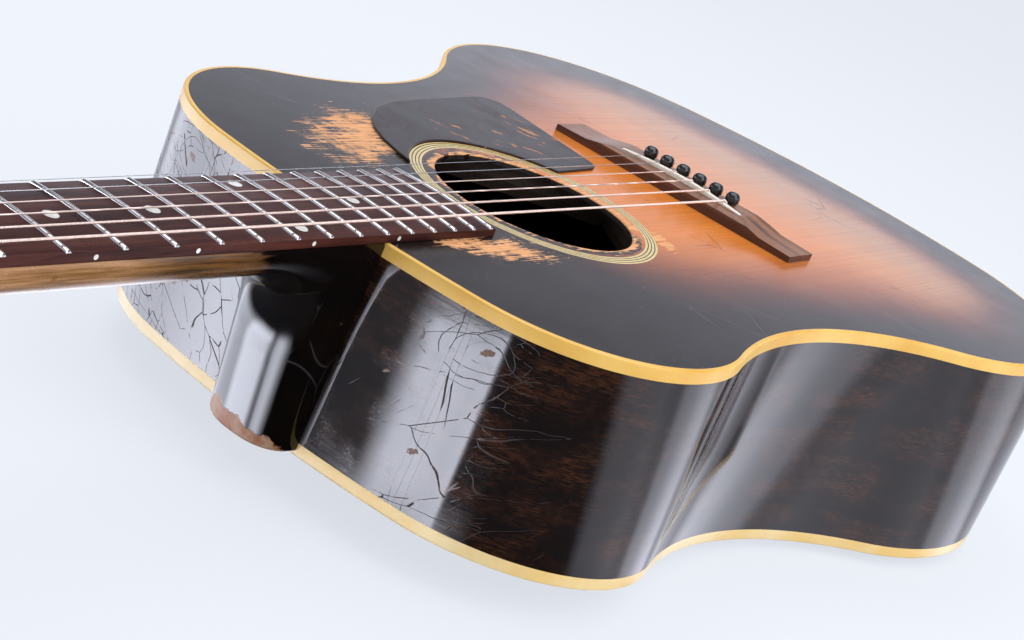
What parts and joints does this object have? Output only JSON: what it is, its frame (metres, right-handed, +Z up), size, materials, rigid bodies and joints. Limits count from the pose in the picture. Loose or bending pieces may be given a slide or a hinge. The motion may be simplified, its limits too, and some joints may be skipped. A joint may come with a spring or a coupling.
{
  "type": "acoustic guitar",
  "caption": "Flat-top steel-string acoustic guitar with an arched back, braced hollow body, dovetailed neck and open-geared tuners that turn the string posts.",
  "frame": {"origin": "bottom centre of the guitar lying on its arched back, under the middle of its length", "axes": "+X from the tail to the headstock, +Y to the bass side, +Z up out of the soundboard"},
  "size_m": [1.0262, 0.4, 0.1382],
  "materials": {
    "sunburst_top": "gloss lacquer over a shaded spruce top",
    "dark_mahogany": "gloss lacquer, crazed",
    "bare_mahogany": "unfinished",
    "bare_cedar": "unfinished",
    "bare_spruce": "unfinished",
    "bare_maple": "unfinished",
    "aged_binding": "yellowed gloss",
    "pale_ply": "satin",
    "dark_ply": "satin",
    "pickguard": "gloss, worn",
    "rosewood_bridge": "oiled",
    "bone": "polished",
    "black_pin": "gloss",
    "neck_finish": "gloss lacquer worn to the wood",
    "black_lacquer": "gloss",
    "rosewood_board": "oiled",
    "nickel_silver": "polished",
    "pearl": "polished",
    "steel_rod": "plain",
    "brass": "aged",
    "nickel_plate": "aged nickel plate",
    "gear_brass": "aged",
    "key_button": "aged ivory colour",
    "plain_string": "bright",
    "wound_string": "bronze wound"
  },
  "bodies": {
    "guitar": {"soundboard": "sunburst_top", "back": "dark_mahogany", "bass_side": "dark_mahogany", "treble_side": "dark_mahogany", "neck_block": "bare_mahogany", "tail_block": "bare_mahogany", "top_lining": "bare_cedar", "back_lining": "bare_cedar", "cross_brace_bass": "bare_spruce", "cross_brace_treble": "bare_spruce", "top_braces": "bare_spruce", "bridge_plate": "bare_maple", "back_braces": "bare_spruce", "back_strip": "bare_spruce", "top_binding": "aged_binding", "back_binding": "aged_binding", "rosette_pale": "pale_ply", "rosette_dark": "dark_ply", "pickguard": "pickguard", "bridge": "rosewood_bridge", "saddle": "bone", "bridge_pins": "black_pin", "end_pin": "black_pin", "neck": "neck_finish", "head_veneer": "black_lacquer", "fretboard": "rosewood_board", "frets": "nickel_silver", "position_dots": "pearl", "nut": "bone", "truss_rod": "steel_rod", "truss_filler": "bare_mahogany", "truss_cover": "black_pin", "head_screws": "nickel_plate", "tuner_plates": "nickel_plate", "post_bushings": "nickel_plate", "string_1": "plain_string", "string_2": "plain_string", "string_3": "wound_string", "string_4": "wound_string", "string_5": "wound_string", "string_6": "wound_string"},
    "truss_adjuster": {"truss_nut": "brass"},
    "key_1": {"tuner_worm_1": "gear_brass", "tuner_key_1": "key_button"},
    "post_1": {"tuner_post_1": "nickel_plate"},
    "key_2": {"tuner_worm_2": "gear_brass", "tuner_key_2": "key_button"},
    "post_2": {"tuner_post_2": "nickel_plate"},
    "key_3": {"tuner_worm_3": "gear_brass", "tuner_key_3": "key_button"},
    "post_3": {"tuner_post_3": "nickel_plate"},
    "key_4": {"tuner_worm_4": "gear_brass", "tuner_key_4": "key_button"},
    "post_4": {"tuner_post_4": "nickel_plate"},
    "key_5": {"tuner_worm_5": "gear_brass", "tuner_key_5": "key_button"},
    "post_5": {"tuner_post_5": "nickel_plate"},
    "key_6": {"tuner_worm_6": "gear_brass", "tuner_key_6": "key_button"},
    "post_6": {"tuner_post_6": "nickel_plate"}
  },
  "joints": [
    {"name": "truss_nut_turn", "type": "hinge", "parent": "guitar", "child": "truss_adjuster", "pos_m": [0.34906, 0, 0.11561], "axis": [1, 0, 0], "range_deg": [-90, 90]},
    {"name": "key_1_turn", "type": "hinge", "parent": "guitar", "child": "key_1", "pos_m": [0.38343, -0.0245, 0.09184], "axis": [0, 1, 0], "continuous": true},
    {"name": "post_1_turn", "type": "hinge", "parent": "guitar", "child": "post_1", "pos_m": [0.39208, -0.0245, 0.08936], "axis": [0.2756, 0, 0.9613], "continuous": true},
    {"name": "key_2_turn", "type": "hinge", "parent": "guitar", "child": "key_2", "pos_m": [0.41996, -0.0245, 0.08137], "axis": [0, 1, 0], "continuous": true},
    {"name": "post_2_turn", "type": "hinge", "parent": "guitar", "child": "post_2", "pos_m": [0.42861, -0.0245, 0.07889], "axis": [0.2756, 0, 0.9613], "continuous": true},
    {"name": "key_3_turn", "type": "hinge", "parent": "guitar", "child": "key_3", "pos_m": [0.45648, -0.0245, 0.0709], "axis": [0, 1, 0], "continuous": true},
    {"name": "post_3_turn", "type": "hinge", "parent": "guitar", "child": "post_3", "pos_m": [0.46514, -0.0245, 0.06842], "axis": [0.2756, 0, 0.9613], "continuous": true},
    {"name": "key_4_turn", "type": "hinge", "parent": "guitar", "child": "key_4", "pos_m": [0.45648, 0.0245, 0.0709], "axis": [0, 1, 0], "continuous": true},
    {"name": "post_4_turn", "type": "hinge", "parent": "guitar", "child": "post_4", "pos_m": [0.46514, 0.0245, 0.06842], "axis": [0.2756, 0, 0.9613], "continuous": true},
    {"name": "key_5_turn", "type": "hinge", "parent": "guitar", "child": "key_5", "pos_m": [0.41996, 0.0245, 0.08137], "axis": [0, 1, 0], "continuous": true},
    {"name": "post_5_turn", "type": "hinge", "parent": "guitar", "child": "post_5", "pos_m": [0.42861, 0.0245, 0.07889], "axis": [0.2756, 0, 0.9613], "continuous": true},
    {"name": "key_6_turn", "type": "hinge", "parent": "guitar", "child": "key_6", "pos_m": [0.38343, 0.0245, 0.09184], "axis": [0, 1, 0], "continuous": true},
    {"name": "post_6_turn", "type": "hinge", "parent": "guitar", "child": "post_6", "pos_m": [0.39208, 0.0245, 0.08936], "axis": [0.2756, 0, 0.9613], "continuous": true}
  ],
  "couplings": [
    {"joint": "post_1_turn", "follows": "key_1_turn", "ratio": -0.071429},
    {"joint": "post_2_turn", "follows": "key_2_turn", "ratio": -0.071429},
    {"joint": "post_3_turn", "follows": "key_3_turn", "ratio": -0.071429},
    {"joint": "post_4_turn", "follows": "key_4_turn", "ratio": 0.071429},
    {"joint": "post_5_turn", "follows": "key_5_turn", "ratio": 0.071429},
    {"joint": "post_6_turn", "follows": "key_6_turn", "ratio": 0.071429}
  ]
}
